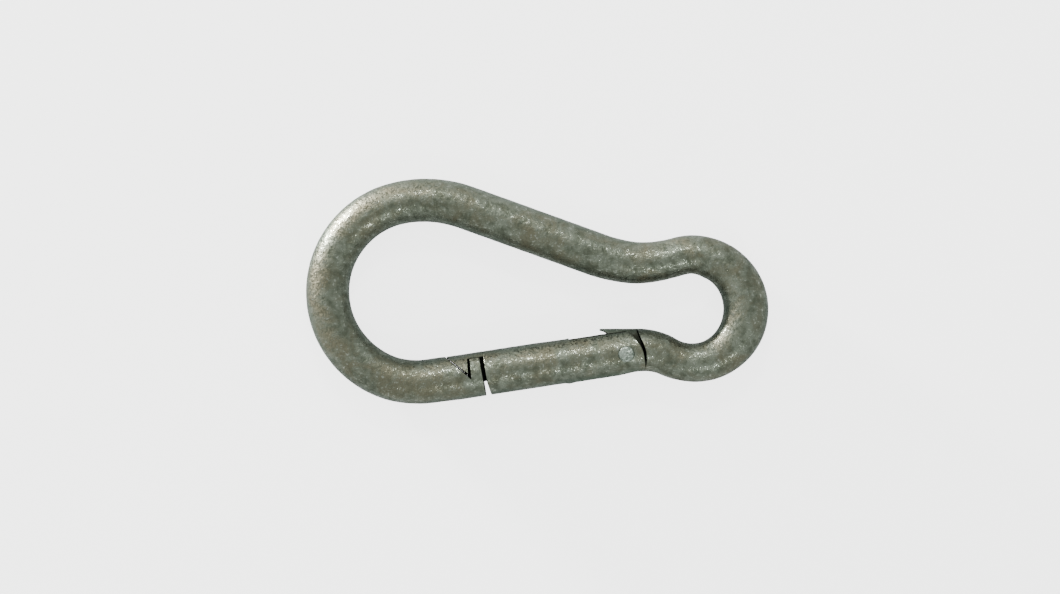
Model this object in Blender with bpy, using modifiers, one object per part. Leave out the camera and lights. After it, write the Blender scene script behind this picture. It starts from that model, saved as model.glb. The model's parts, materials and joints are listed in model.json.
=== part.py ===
"""Spring snap hook: a round bar bent into a pear that ends in a small eye, closed by a sprung gate.

The hook lies flat. +X runs from the wide bow to the small eye, +Y from the gate to the back bar, and +Z
is up. The origin is at the middle of the overall box, on the surface that the hook lies on.
Five pieces: the bent bar, the gate, the hinge rivet, the plunger and its spring. All lengths are metres.
"""

import math

import bmesh
import bpy
from mathutils import Matrix, Vector

# Bent bar. The radii are those of its centreline.
OVERALL_LENGTH = 0.120
BAR_D = 0.0114
BOW_R = 0.0235
SHOULDER_R = 0.0312
SHOULDER_TURN = math.radians(34)
BACK_SLOPE = math.radians(16.3)
NECK_R = 0.0337
EYE_R = 0.0140
EYE_THINNING = 0.10
THROAT_R = 0.0142

# Hinge. The heel is the point on the gate's axis beside the rivet, back and down from the eye's centre.
# The tang leans on the long axis, and passes a little inside the heel.
HEEL_BACK = 0.0166
HEEL_DROP = 0.0121
RIVET_OFFSET = 0.0005
TANG_SLOPE = math.radians(3.7)
TANG_RISE = 0.0003
TANG_T = 0.0034
TANG_SIDE_GAP = 0.0003
SHOULDER_FACE = 0.0053
SHOULDER_LEAN = 0.0010
SHOULDER_HOLLOW = 0.0004
CHEEK_GAP = 0.0003
CHEEK_CORNER_START = -0.0018
CHEEK_CORNER = 0.0046
CHEEK_CORNER_ROUND = 0.00045
RIVET_R = 0.0018
RIVET_HEAD_R = 0.00215
RIVET_HEAD_DEPTH = 0.0008
RIVET_SINK = 0.0001
RIVET_CHEEK_GAP = 0.00005
RIVET_TANG_GAP = 0.0001

# Nose and the gate's tongue. The faces are arcs about the rivet, so that they pass as the gate swings.
NOSE_LENGTH = 0.0132
TOOTH_T = 0.0028
TOOTH_GAP = 0.0007
END_GAP = 0.0008
NOTCH_FLOOR = -0.0009
NOTCH_ANGLE = math.radians(48.5)
NOTCH_GAP = 0.0004
TONGUE_T = 0.0068
TONGUE_SIDE_GAP = 0.0003
TONGUE_FLOOR = -0.0019
TONGUE_FLOOR_GAP = 0.0006
END_CUT_BACK = 0.0005

# Gate's slot and bore, and what works in them.
SLOT_END = 0.0141
BORE_R = 0.0028
BORE_END_WALL = 0.0070
PLUNGER_R = 0.0026
PLUNGER_LENGTH = 0.0118
PLUNGER_CHAMFER = 0.0004
SPIGOT_R = 0.0013
SPIGOT_LENGTH = 0.0022
CAM_START = 0.0037
CAM_RISE = 0.00275
CAM_GAP = 0.0003
CAM_TURN = math.radians(30)
SPUR_REACH = 0.0015
SPRING_WIRE_D = 0.0009
SPRING_BORE_GAP = 0.0002
SPRING_TURNS = 9
SPRING_END_GAP = 0.0003

# Fineness of the round surfaces.
BAR_SIDES = 24
PIN_SIDES = 32
STEP_ANGLE = math.radians(7.5)
SPRING_STEPS = 12

BAR_R = BAR_D / 2
OVERCUT = BAR_D
CAST_STEEL = ((0.20, 0.20, 0.17), 0.45, 0.9)
RIVET_STEEL = ((0.28, 0.31, 0.28), 0.35, 0.9)
SPRING_STEEL = ((0.30, 0.30, 0.29), 0.3, 1.0)


# --- plane geometry -------------------------------------------------------------------------------


def direction(angle):
    return Vector((math.cos(angle), math.sin(angle)))


def left_of(v):
    """The vector turned a quarter turn to its left."""
    return Vector((-v.y, v.x))


def arc(centre, radius, start, end):
    """Points on a circle from one angle to another, at most STEP_ANGLE apart."""
    steps = max(2, math.ceil(abs(end - start) / STEP_ANGLE))
    return [centre + radius * direction(start + (end - start) * i / steps) for i in range(steps + 1)]


def bulged(start, end, bulge):
    """An arc between two points that bows out by bulge to the left of the way from start to end."""
    chord = end - start
    radius = (chord.length**2 / 4 + bulge**2) / (2 * abs(bulge))
    side = math.copysign(1, bulge)
    centre = (start + end) / 2 - side * (radius - abs(bulge)) * left_of(chord.normalized())
    first = math.atan2(start.y - centre.y, start.x - centre.x)
    swing = 2 * math.asin(chord.length / 2 / radius)
    return arc(centre, radius, first, first - side * swing)


def fillet_centre(point, along, outward, radius, circle, circle_r):
    """Centre of the arc that touches a line on its outward side and a circle from outside.

    The centre is radius off the line and radius + circle_r from the circle's centre, on the near side.
    """
    offset = (circle - point).dot(outward)
    reach = math.sqrt((radius + circle_r) ** 2 - (radius - offset) ** 2)
    foot = point + (circle - point).dot(along) * along
    return foot - reach * along + radius * outward


def angle_to(centre, point):
    return math.atan2(point.y - centre.y, point.x - centre.x)


# --- layout of the centreline ---------------------------------------------------------------------

BACK_DIRECTION = direction(-BACK_SLOPE)
BACK_NORMAL = left_of(BACK_DIRECTION)
SHOULDER_START = math.pi / 2 - BACK_SLOPE + SHOULDER_TURN


def layout():
    """Centres of the bow, shoulder and eye, the heel, and the gate's direction, from the bow's centre."""
    bow = Vector((0, 0))
    eye = Vector((OVERALL_LENGTH - BOW_R - EYE_R - BAR_D, 0))
    shoulder = bow + (BOW_R - SHOULDER_R) * direction(SHOULDER_START)
    heel = eye - Vector((HEEL_BACK, HEEL_DROP))
    to_bow = bow - heel
    gate_angle = math.atan2(to_bow.y, to_bow.x) + math.asin(BOW_R / to_bow.length) - math.pi
    return bow, shoulder, eye, heel, gate_angle


def origin_shift():
    """From the bow's centre to the middle of the hook's box, seen from above."""
    bow, shoulder, eye, _, _ = layout()
    top = shoulder.y + SHOULDER_R
    bottom = bow.y - BOW_R
    return Vector(((eye.x + EYE_R - BOW_R) / 2, (top + bottom) / 2))


SHIFT = origin_shift()
BOW, SHOULDER, EYE, HEEL = (point - SHIFT for point in layout()[:4])
GATE_ANGLE = layout()[4]
GATE_REACH = math.sqrt((BOW - HEEL).length ** 2 - BOW_R**2)
RIVET = Vector((0, -RIVET_OFFSET))
NOSE_FACE_R = GATE_REACH - NOSE_LENGTH
TOOTH_BACK_R = NOSE_FACE_R + TOOTH_T
HEAD_FACE_R = TOOTH_BACK_R + TOOTH_GAP
GATE_END = NOSE_FACE_R - END_GAP


def centreline():
    """The bar's line from nose to tang, and its thickness at each point as a share of BAR_D.

    The line runs through the nose, bow, shoulder, back, neck, eye, throat and tang. Bending draws the bar
    thinner at the two sides of the eye, in proportion to the squared sine of the angle round the eye.
    """
    tang_direction = direction(TANG_SLOPE)
    tang_root = HEEL + TANG_RISE * left_of(tang_direction)
    neck = fillet_centre(SHOULDER + SHOULDER_R * BACK_NORMAL, BACK_DIRECTION, BACK_NORMAL, NECK_R, EYE, EYE_R)
    throat = fillet_centre(tang_root, tang_direction, -left_of(tang_direction), THROAT_R, EYE, EYE_R)
    neck_to_eye = angle_to(neck, EYE)
    eye_to_throat = angle_to(EYE, throat)

    nose_start = HEEL - (NOSE_FACE_R - OVERCUT) * direction(GATE_ANGLE)
    bow_arc = arc(BOW, BOW_R, GATE_ANGLE - math.pi / 2, SHOULDER_START - 2 * math.pi)
    shoulder_arc = arc(SHOULDER, SHOULDER_R, SHOULDER_START, math.pi / 2 - BACK_SLOPE)[1:]
    neck_arc = arc(neck, NECK_R, -math.pi / 2 - BACK_SLOPE, neck_to_eye)
    eye_arc = arc(EYE, EYE_R, neck_to_eye + math.pi, eye_to_throat)[1:-1]
    throat_arc = arc(throat, THROAT_R, eye_to_throat + math.pi, math.pi / 2 + TANG_SLOPE)
    tang_end = tang_root - (CAM_START + OVERCUT) * tang_direction

    line = [(point, 1) for point in (nose_start, *bow_arc, *shoulder_arc)]
    for i, point in enumerate(neck_arc):
        line.append((point, 1 - eye_thinning(neck_arc[-1]) * i / (len(neck_arc) - 1)))
    line += [(point, 1 - eye_thinning(point)) for point in eye_arc]
    for i, point in enumerate(throat_arc):
        line.append((point, 1 - eye_thinning(throat_arc[0]) * (1 - i / (len(throat_arc) - 1))))
    line.append((tang_end, 1))
    return line


def eye_thinning(point):
    return EYE_THINNING * math.sin(angle_to(EYE, point)) ** 2


# --- Blender helpers ------------------------------------------------------------------------------


def clear_scene():
    for obj in list(bpy.data.objects):
        bpy.data.objects.remove(obj, do_unlink=True)


def collection(name):
    made = bpy.data.collections.new(name)
    bpy.context.scene.collection.children.link(made)
    return made


def finish_material(obj, name, finish):
    colour, roughness, metallic = finish
    material = bpy.data.materials.get(name) or bpy.data.materials.new(name)
    material.use_nodes = True
    shader = material.node_tree.nodes["Principled BSDF"]
    shader.inputs["Base Color"].default_value = (*colour, 1)
    shader.inputs["Roughness"].default_value = roughness
    shader.inputs["Metallic"].default_value = metallic
    obj.data.materials.clear()
    obj.data.materials.append(material)


def gate_frame():
    """Local X runs along the gate towards the eye, local Y towards the back bar, with the heel at 0."""
    return Matrix.Translation((*HEEL, BAR_R)) @ Matrix.Rotation(GATE_ANGLE, 4, "Z")


def rivet_frame():
    """The gate's frame moved to the rivet, with local Z along it."""
    return gate_frame() @ Matrix.Translation((*RIVET, 0))


def meshed(curve_object):
    """A mesh object in place of a curve object, with its caps welded."""
    bpy.context.view_layer.update()
    evaluated = curve_object.evaluated_get(bpy.context.evaluated_depsgraph_get())
    mesh = bpy.data.meshes.new_from_object(evaluated)
    work = bmesh.new()
    work.from_mesh(mesh)
    bmesh.ops.remove_doubles(work, verts=work.verts, dist=1e-6)
    work.to_mesh(mesh)
    work.free()
    name = curve_object.name
    matrix = curve_object.matrix_world.copy()
    bpy.data.objects.remove(curve_object, do_unlink=True)
    made = bpy.data.objects.new(name, mesh)
    made.matrix_world = matrix
    return made


def outline_prism(name, outline, low, high, frame):
    """A flat outline given thickness from low to high along the frame's Z."""
    curve = bpy.data.curves.new(name, "CURVE")
    curve.dimensions = "2D"
    curve.fill_mode = "BOTH"
    curve.extrude = (high - low) / 2
    spline = curve.splines.new("POLY")
    spline.points.add(len(outline) - 1)
    for point, (x, y) in zip(spline.points, outline):
        point.co = (x, y, 0, 1)
    spline.use_cyclic_u = True
    obj = bpy.data.objects.new(name, curve)
    bpy.context.scene.collection.objects.link(obj)
    obj.matrix_world = frame @ Matrix.Translation((0, 0, (low + high) / 2))
    return meshed(obj)


def turned(name, profile, frame, sides):
    """A profile of (radius, height), listed from top to bottom, turned about the frame's Z."""
    mesh = bpy.data.meshes.new(name)
    edges = [(i, i + 1) for i in range(len(profile) - 1)]
    mesh.from_pydata([(radius, 0, height) for radius, height in profile], edges, [])
    obj = bpy.data.objects.new(name, mesh)
    obj.matrix_world = frame
    screw = obj.modifiers.new("turn", "SCREW")
    screw.steps = screw.render_steps = sides
    screw.use_merge_vertices = True
    screw.merge_threshold = 1e-6
    return obj


def cut(obj, cutter, cutters):
    """Takes the cutter's shape out of obj."""
    if cutter.name not in cutters.objects:
        cutters.objects.link(cutter)
        cutter.hide_render = True
        cutter.display_type = "WIRE"
    boolean = obj.modifiers.new("cut_" + cutter.name, "BOOLEAN")
    boolean.operation = "DIFFERENCE"
    boolean.object = cutter


def smooth(obj):
    obj.data.shade_smooth()
    obj.data.set_sharp_from_angle(angle=math.radians(30))


# --- outlines in the gate's frame: x towards the eye, y towards the back bar -----------------------


def notch_line(gap):
    """Two points on the nose's slanted notch face, low then high, moved towards the gate by gap."""
    across = direction(math.pi - NOTCH_ANGLE)
    inward = Vector((-across.y, across.x)) * -1
    tip = on_swing(TOOTH_BACK_R, NOTCH_FLOOR) + gap * inward
    low = tip + across * (TONGUE_FLOOR - TONGUE_FLOOR_GAP - tip.y) / across.y
    high = tip + across * (BAR_R + OVERCUT - tip.y) / across.y
    return low, high


def on_notch_line(gap, height):
    low, high = notch_line(gap)
    return low.lerp(high, (height - low.y) / (high.y - low.y))


def on_swing(radius, height):
    """The point on the nose's side at a height on the gate and a distance from the rivet."""
    rise = height - RIVET.y
    return Vector((RIVET.x - math.sqrt(radius**2 - rise**2), height))


def swing_arc(radius, low, high):
    """An arc about the rivet on the nose's side, from one height to another."""
    start = angle_to(RIVET, on_swing(radius, high))
    end = angle_to(RIVET, on_swing(radius, low)) % math.tau
    return arc(RIVET, radius, end, start)


def nose_face_outline():
    """What lies past the nose's end face, on the gate's side."""
    reach = BAR_R + OVERCUT / 2
    face = swing_arc(NOSE_FACE_R, -reach, reach)
    inner = NOSE_FACE_R - 2 * OVERCUT
    return [*face, Vector((-inner, reach)), Vector((-inner, -reach))]


def notch_outline():
    """The notch behind the tooth: its back is the tooth's face, its front the slanted face."""
    reach = BAR_R + OVERCUT
    return [*swing_arc(TOOTH_BACK_R, NOTCH_FLOOR, reach), notch_line(0)[1]]


def nose_slot_outline():
    """The slot that the gate's tongue drops into, open at the nose's face and on the inside."""
    low, high = notch_line(0)
    return [low, Vector((-NOSE_FACE_R + OVERCUT, low.y)), Vector((-NOSE_FACE_R + OVERCUT, high.y)), high]


def shoulder_face():
    """The bar's shoulder at the hinge, from its outer side to its inner side."""
    outer = Vector((SHOULDER_FACE, -BAR_R))
    inner = Vector((SHOULDER_FACE - SHOULDER_LEAN, BAR_R))
    step_out = (inner - outer).normalized() * OVERCUT
    return [outer - step_out, *bulged(outer, inner, -SHOULDER_HOLLOW), inner + step_out]


def flat_outline():
    """Where the bar is thinned to the tang, from the shoulder to past its end."""
    far = -(CAM_START + 2 * OVERCUT)
    face = shoulder_face()
    return [*face, Vector((far, face[-1].y)), Vector((far, face[0].y))]


def cam_face():
    """The tang's end, which the plunger's dome runs on as the gate swings.

    The dome's centre stays on the gate's axis and moves out from the heel in proportion to the swing. On
    the tang it draws a spiral about the rivet, and the face is the spiral's parallel curve on the rivet's
    side, a dome's radius and a gap away.
    """
    points = []
    steps = max(2, math.ceil(CAM_TURN / STEP_ANGLE))
    for i in range(steps + 1):
        swing = CAM_TURN * i / steps
        reach = CAM_START + PLUNGER_R + CAM_RISE * swing
        outward = Vector((-math.cos(swing), math.sin(swing)))
        onward = Vector((math.sin(swing), math.cos(swing)))
        centre = RIVET + reach * outward + RIVET_OFFSET * onward
        travel = ((CAM_RISE - RIVET_OFFSET) * outward + reach * onward).normalized()
        points.append(centre - (PLUNGER_R + CAM_GAP) * left_of(travel))
    return points


def tang_end_outline():
    """What lies past the tang's end: below the cam face it runs straight, and above it a spur stands out."""
    cam = cam_face()
    far = -(CAM_START + 2 * OVERCUT)
    bottom = Vector((cam[0].x, -(BAR_R + OVERCUT)))
    lip = Vector((cam[-1].x, BAR_R))
    spur = lip + SPUR_REACH * direction(math.radians(135))
    top = Vector((spur.x, BAR_R + OVERCUT))
    return [bottom, *cam, lip, spur, top, Vector((far, top.y)), Vector((far, bottom.y))]


def gate_front_outline():
    """What is taken off the gate's round bar in front: all but the tongue and its head."""
    end_corner = Vector((-GATE_END + END_CUT_BACK, -(BAR_R + OVERCUT)))
    end_turn = Vector((-GATE_END, TONGUE_FLOOR))
    tongue_low = on_notch_line(NOTCH_GAP, TONGUE_FLOOR)
    tongue_high = notch_line(NOTCH_GAP)[1]
    far = tongue_high.x - OVERCUT
    return [end_corner, end_turn, tongue_low, tongue_high, Vector((far, tongue_high.y)), Vector((far, end_corner.y))]


def tooth_room_outline():
    """Room for the nose's teeth on both sides of the tongue, between the gate's end and the head."""
    reach = BAR_R + OVERCUT
    face = swing_arc(HEAD_FACE_R, TONGUE_FLOOR - OVERCUT / 2, reach)
    return [*face, Vector((-GATE_END, reach)), Vector((-GATE_END, TONGUE_FLOOR - OVERCUT / 2))]


def cheek_end_outline():
    """What is taken off the gate's hinge end, so that its inner corner passes the shoulder."""
    end = SHOULDER_FACE - CHEEK_GAP
    reach = BAR_R + OVERCUT
    low = Vector((end, CHEEK_CORNER_START))
    high = Vector((end - CHEEK_CORNER, BAR_R))
    slope = (high - low).normalized() * OVERCUT
    corner = bulged(low, high, -CHEEK_CORNER_ROUND)
    far = end + OVERCUT
    return [Vector((end, -reach)), *corner, high + slope, Vector((far, reach)), Vector((far, -reach))]


# --- pieces ---------------------------------------------------------------------------------------


def make_hook_body(parts, cutters):
    """The bent bar, with its slotted nose and its flattened tang."""
    curve = bpy.data.curves.new("hook_body", "CURVE")
    curve.dimensions = "3D"
    curve.bevel_depth = BAR_R
    curve.bevel_resolution = BAR_SIDES // 2 - 2
    curve.use_fill_caps = True
    line = centreline()
    spline = curve.splines.new("POLY")
    spline.points.add(len(line) - 1)
    for spline_point, (point, thickness) in zip(spline.points, line):
        spline_point.co = (*point, BAR_R, 1)
        spline_point.radius = thickness
    bar = bpy.data.objects.new("hook_body", curve)
    bpy.context.scene.collection.objects.link(bar)
    body = meshed(bar)
    parts.objects.link(body)

    frame = gate_frame()
    slot = TONGUE_T / 2 + TONGUE_SIDE_GAP
    wide = BAR_R + OVERCUT
    cut(body, outline_prism("nose_face", nose_face_outline(), -wide, wide, frame), cutters)
    cut(body, outline_prism("nose_notch", notch_outline(), -wide, wide, frame), cutters)
    cut(body, outline_prism("nose_slot", nose_slot_outline(), -slot, slot, frame), cutters)
    cut(body, outline_prism("tang_flat_top", flat_outline(), TANG_T / 2, wide, frame), cutters)
    cut(body, outline_prism("tang_flat_under", flat_outline(), -wide, -TANG_T / 2, frame), cutters)
    cut(body, outline_prism("tang_end", tang_end_outline(), -wide, wide, frame), cutters)
    hole = [(0, wide), (RIVET_R + RIVET_TANG_GAP, wide), (RIVET_R + RIVET_TANG_GAP, -wide), (0, -wide)]
    cut(body, turned("tang_hole", hole, rivet_frame(), PIN_SIDES), cutters)
    finish_material(body, "cast_steel", CAST_STEEL)
    smooth(body)
    return body


def rivet_profile(gap):
    """Half of the rivet's outline, top to bottom: straight shank, cone heads spread by peening."""
    end = BAR_R - RIVET_SINK
    cone = end - RIVET_HEAD_DEPTH
    head = RIVET_HEAD_R + gap
    shank = RIVET_R + gap
    return [(0, end), (head, end), (shank, cone), (shank, -cone), (head, -end), (0, -end)]


def hole_profile(gap):
    """The hole that the rivet was peened into, open past both sides of the gate."""
    end = BAR_R - RIVET_SINK
    past = BAR_R + OVERCUT
    head = RIVET_HEAD_R + gap
    return [(0, past), (head, past), (head, end), *rivet_profile(gap)[2:4], (head, -end), (head, -past), (0, -past)]


def make_gate(parts, cutters):
    """The gate: a round bar with a headed tongue at the nose and a fork at the hinge."""
    front = -notch_line(0)[1].x
    back = SHOULDER_FACE
    middle = Matrix.Translation(((back - front) / 2, 0, 0))
    bpy.ops.mesh.primitive_cylinder_add(vertices=BAR_SIDES, radius=BAR_R, depth=front + back)
    gate = bpy.context.active_object
    gate.name = gate.data.name = "gate"
    gate.data.transform(middle @ Matrix.Rotation(math.pi / 2, 4, "Y"))
    frame = gate_frame()
    gate.matrix_world = frame
    for holder in list(gate.users_collection):
        holder.objects.unlink(gate)
    parts.objects.link(gate)

    wide = BAR_R + OVERCUT
    tongue = TONGUE_T / 2
    slot = TANG_T / 2 + TANG_SIDE_GAP
    past = SHOULDER_FACE + OVERCUT
    slot_outline = [Vector(p) for p in ((-SLOT_END, -wide), (past, -wide), (past, wide), (-SLOT_END, wide))]
    cut(gate, outline_prism("gate_front", gate_front_outline(), -wide, wide, frame), cutters)
    cut(gate, outline_prism("tooth_room_top", tooth_room_outline(), tongue, wide, frame), cutters)
    cut(gate, outline_prism("tooth_room_under", tooth_room_outline(), -wide, -tongue, frame), cutters)
    cut(gate, outline_prism("cheek_end", cheek_end_outline(), -wide, wide, frame), cutters)
    cut(gate, outline_prism("fork_slot", slot_outline, -slot, slot, frame), cutters)
    bore_end = -(GATE_END - BORE_END_WALL)
    bore = [(0, past), (BORE_R, past), (BORE_R, bore_end), (0, bore_end - BORE_R / 2)]
    along_gate = frame @ Matrix.Rotation(math.pi / 2, 4, "Y")
    cut(gate, turned("bore", bore, along_gate, PIN_SIDES), cutters)
    cut(gate, turned("cheek_hole", hole_profile(RIVET_CHEEK_GAP), rivet_frame(), PIN_SIDES), cutters)
    finish_material(gate, "cast_steel", CAST_STEEL)
    smooth(gate)
    return gate


def make_hinge_pin(parts):
    """The rivet, peened over in the gate's cheeks, that the gate turns on."""
    pin = turned("hinge_pin", rivet_profile(0), rivet_frame(), PIN_SIDES)
    parts.objects.link(pin)
    finish_material(pin, "rivet_steel", RIVET_STEEL)
    return pin


def make_plunger(parts):
    """The pin with a domed end that the spring presses on the tang, with a spigot for the spring."""
    dome = Vector((0, -(CAM_START + PLUNGER_R)))
    nose = [(max(p.x, 0.0), p.y) for p in arc(dome, PLUNGER_R, math.pi / 2, 0)]
    back = -(CAM_START + PLUNGER_LENGTH)
    shank = [(PLUNGER_R, back + PLUNGER_CHAMFER), (PLUNGER_R - PLUNGER_CHAMFER, back), (SPIGOT_R, back)]
    profile = [*nose, *shank, (SPIGOT_R, back - SPIGOT_LENGTH), (0, back - SPIGOT_LENGTH)]
    along_gate = gate_frame() @ Matrix.Rotation(math.pi / 2, 4, "Y")
    plunger = turned("plunger", profile, along_gate, PIN_SIDES)
    parts.objects.link(plunger)
    finish_material(plunger, "spring_steel", SPRING_STEEL)
    return plunger


def make_return_spring(parts):
    """A compression spring in the bore, between its bottom and the plunger, with closed end turns."""
    wire_r = SPRING_WIRE_D / 2
    coil_r = BORE_R - SPRING_BORE_GAP - wire_r
    start = CAM_START + PLUNGER_LENGTH + SPRING_END_GAP + wire_r
    end = GATE_END - BORE_END_WALL - SPRING_END_GAP - wire_r
    closed_pitch = SPRING_WIRE_D * 1.1
    open_pitch = (end - start - 2 * closed_pitch) / (SPRING_TURNS - 2)
    count = SPRING_TURNS * SPRING_STEPS
    points = []
    for i in range(count + 1):
        turns = i / SPRING_STEPS
        closed = min(turns, 1) + max(turns - (SPRING_TURNS - 1), 0)
        along = start + closed * closed_pitch + (turns - closed) * open_pitch
        angle = 2 * math.pi * turns
        points.append((-along, coil_r * math.cos(angle), coil_r * math.sin(angle)))
    curve = bpy.data.curves.new("return_spring", "CURVE")
    curve.dimensions = "3D"
    curve.bevel_depth = wire_r
    curve.bevel_resolution = 2
    curve.use_fill_caps = True
    spline = curve.splines.new("POLY")
    spline.points.add(count)
    for spline_point, point in zip(spline.points, points):
        spline_point.co = (*point, 1)
    spring = bpy.data.objects.new("return_spring", curve)
    spring.matrix_world = gate_frame()
    parts.objects.link(spring)
    finish_material(spring, "spring_steel", SPRING_STEEL)
    return spring


def main():
    clear_scene()
    parts = collection("snap_hook")
    cutters = collection("cutters")
    make_hook_body(parts, cutters)
    make_gate(parts, cutters)
    make_hinge_pin(parts)
    make_plunger(parts)
    make_return_spring(parts)


main()
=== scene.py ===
"""The looks of a spring snap hook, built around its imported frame.

One section for each piece: bent bar, gate, rivet, plunger, spring; then the table-top and light around it.
Lengths are metres. In a bar's section, v points to the inside of the loop and z up.
"""

import json
import math

import bmesh
import bpy
import numpy as np
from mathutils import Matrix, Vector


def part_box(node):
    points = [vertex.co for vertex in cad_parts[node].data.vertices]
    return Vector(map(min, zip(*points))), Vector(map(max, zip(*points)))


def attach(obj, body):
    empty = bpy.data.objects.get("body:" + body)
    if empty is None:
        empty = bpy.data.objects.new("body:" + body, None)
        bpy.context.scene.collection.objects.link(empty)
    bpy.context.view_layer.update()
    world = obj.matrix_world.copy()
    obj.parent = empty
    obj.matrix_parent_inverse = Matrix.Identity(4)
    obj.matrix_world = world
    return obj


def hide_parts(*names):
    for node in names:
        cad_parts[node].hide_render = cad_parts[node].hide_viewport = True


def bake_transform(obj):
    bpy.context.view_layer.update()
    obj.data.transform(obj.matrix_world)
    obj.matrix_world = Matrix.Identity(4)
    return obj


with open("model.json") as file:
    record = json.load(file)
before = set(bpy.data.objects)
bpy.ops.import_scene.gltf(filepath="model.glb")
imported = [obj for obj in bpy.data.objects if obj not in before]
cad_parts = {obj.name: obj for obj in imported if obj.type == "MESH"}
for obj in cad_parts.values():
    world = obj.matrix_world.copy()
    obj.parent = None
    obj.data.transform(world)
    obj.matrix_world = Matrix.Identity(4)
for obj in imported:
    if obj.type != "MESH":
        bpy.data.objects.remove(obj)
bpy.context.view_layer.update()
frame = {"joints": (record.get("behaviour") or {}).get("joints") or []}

# --- Bent bar -------------------------------------------------------------------------------------
# One round steel bar, bent cold into a wide bow and a small eye, with a zinc coat that has weathered.
# Its nose is slotted, and notched behind a tooth that holds the gate; its other end is milled flat to a
# tang that the gate turns on. The line of the bar is a chain of straight runs and arcs that flow on.

low, high = (np.array(corner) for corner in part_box("hook_body"))
bar_r = (high[2] - low[2]) / 2
bow_r, shoulder_r, neck_r, eye_r, throat_r = 0.0235, 0.0312, 0.0337, 0.0140, 0.0142
shoulder_turn, back_slope, tang_slope = np.radians((34, 16.3, 3.7))
swing, slide = frame["joints"]
rivet_at = np.array(swing["pos_m"])
rivet_offset, tang_rise = 0.0005, 0.0003


def direction(angle):
    """The unit vector (cos, sin) at an angle."""
    return np.array((math.cos(angle), math.sin(angle)))


def left_of(v):
    """A flat vector turned a quarter turn to its left."""
    return np.array((-v[1], v[0]))


def angle_to(a, b):
    """The heading from one flat point to another."""
    return math.atan2(b[1] - a[1], b[0] - a[0])


def fillet_centre(point, along, outward, radius, circle, circle_r):
    """Centre of the arc that touches a line on its outward side and a circle from outside."""
    offset = (circle - point) @ outward
    reach = math.sqrt((radius + circle_r) ** 2 - (radius - offset) ** 2)
    return point + ((circle - point) @ along - reach) * along + radius * outward


gate_way = -np.array(slide["axis"][:2])
gate_side = left_of(gate_way)
gate_angle = math.atan2(gate_way[1], gate_way[0])
heel = rivet_at[:2] + rivet_offset * gate_side
bow = low[:2] + bow_r + bar_r
eye = np.array((high[0] - eye_r - bar_r, bow[1]))
back_way, tang_way = direction(-back_slope), direction(tang_slope)
back_side, tang_side = left_of(back_way), left_of(tang_way)
shoulder_from = math.pi / 2 - back_slope + shoulder_turn
shoulder = bow + (bow_r - shoulder_r) * direction(shoulder_from)
tang_root = heel + tang_rise * tang_side
neck = fillet_centre(shoulder + shoulder_r * back_side, back_way, back_side, neck_r, eye, eye_r)
throat = fillet_centre(tang_root, tang_way, -tang_side, throat_r, eye, eye_r)
into_eye, out_of_eye = angle_to(neck, eye) + math.pi, angle_to(eye, throat)

nose_face = 0.03741
gate_reach = math.sqrt((bow - heel) @ (bow - heel) - bow_r**2)
tang_straight = (throat - tang_root) @ tang_way
runs = [
    (gate_reach - nose_face, 0),
    (bow_r * (gate_angle + 1.5 * math.pi - shoulder_from), -1 / bow_r),
    (shoulder_r * shoulder_turn, -1 / shoulder_r),
    ((neck - shoulder) @ back_way, 0),
    (neck_r * (into_eye - math.pi / 2 + back_slope), 1 / neck_r),
    (eye_r * (into_eye - out_of_eye), -1 / eye_r),
    (throat_r * (tang_slope - math.pi / 2 - out_of_eye), 1 / throat_r),
    (tang_straight + 0.02, 0),
]
run_length, run_bend = np.array(runs).T
run_start = np.concatenate(((0,), np.cumsum(run_length)[:-1]))
run_heading = gate_angle + math.pi + np.concatenate(((0,), np.cumsum(run_length * run_bend)[:-1]))
run_from = [heel - nose_face * gate_way]
for length, bend, heading in zip(run_length, run_bend, run_heading):
    half_turn = length * bend / 2
    chord = length * np.sinc(half_turn / math.pi)
    run_from.append(run_from[-1] + chord * direction(heading + half_turn))
run_from = np.array(run_from[:-1])
eye_from, throat_from, tang_from = run_start[5], run_start[6], run_start[7]
root_at = tang_from + tang_straight


def swept(s, v, z):
    """Points carried along the bar's line: s along it, v to the loop's inside, z up from the bar's axis.

    On a run of one bend, the way from its start is a chord: length sin(a)/a, turned by a, half the turn.
    """
    i = np.clip(np.searchsorted(run_start, s, "right") - 1, 0, len(runs) - 1)
    along = s - run_start[i]
    half_turn = along * run_bend[i] / 2
    chord = along * np.sinc(half_turn / np.pi)
    heading = run_heading[i] + half_turn
    x = run_from[i, 0] + chord * np.cos(heading)
    y = run_from[i, 1] + chord * np.sin(heading)
    heading = heading + half_turn
    return np.stack((x + v * np.sin(heading), y - v * np.cos(heading), bar_r + z), -1)


def ring_angles(count, *walls):
    """Angles round a bar's section from the loop's inside, even but for added ones at each wall's height."""
    even = np.arange(count) * 2 * np.pi / count
    at = np.arcsin(np.array(walls) / bar_r)
    return np.unique(np.round(np.concatenate((even, at, np.pi - at, np.pi + at, 2 * np.pi - at)), 9))


def waves(points, size, seed, count=40):
    """A smooth uneven field, from -1 to 1: the mean of plane waves of many directions near one size."""
    rng = np.random.default_rng(seed)
    way = rng.normal(size=(count, 3))
    way *= (2 * np.pi / size) * rng.uniform(0.6, 1.6, (count, 1)) / np.linalg.norm(way, axis=1, keepdims=True)
    total = sum(np.sin(points @ w + p) for w, p in zip(way, rng.uniform(0, 2 * np.pi, count)))
    return np.clip(total / math.sqrt(count) / 1.6, -1, 1)


def scale_of_coat(points, deep=0.00005):
    """How far the coated surface lies below the bar's nominal size: broad hollows and small lumps."""
    broad = waves(points, 0.014, 3) * 0.4
    lumps = waves(points, 0.0028, 5) * 0.38
    small = waves(points, 0.0012, 7) * 0.22
    return deep * (1 + broad + lumps + small)


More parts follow.
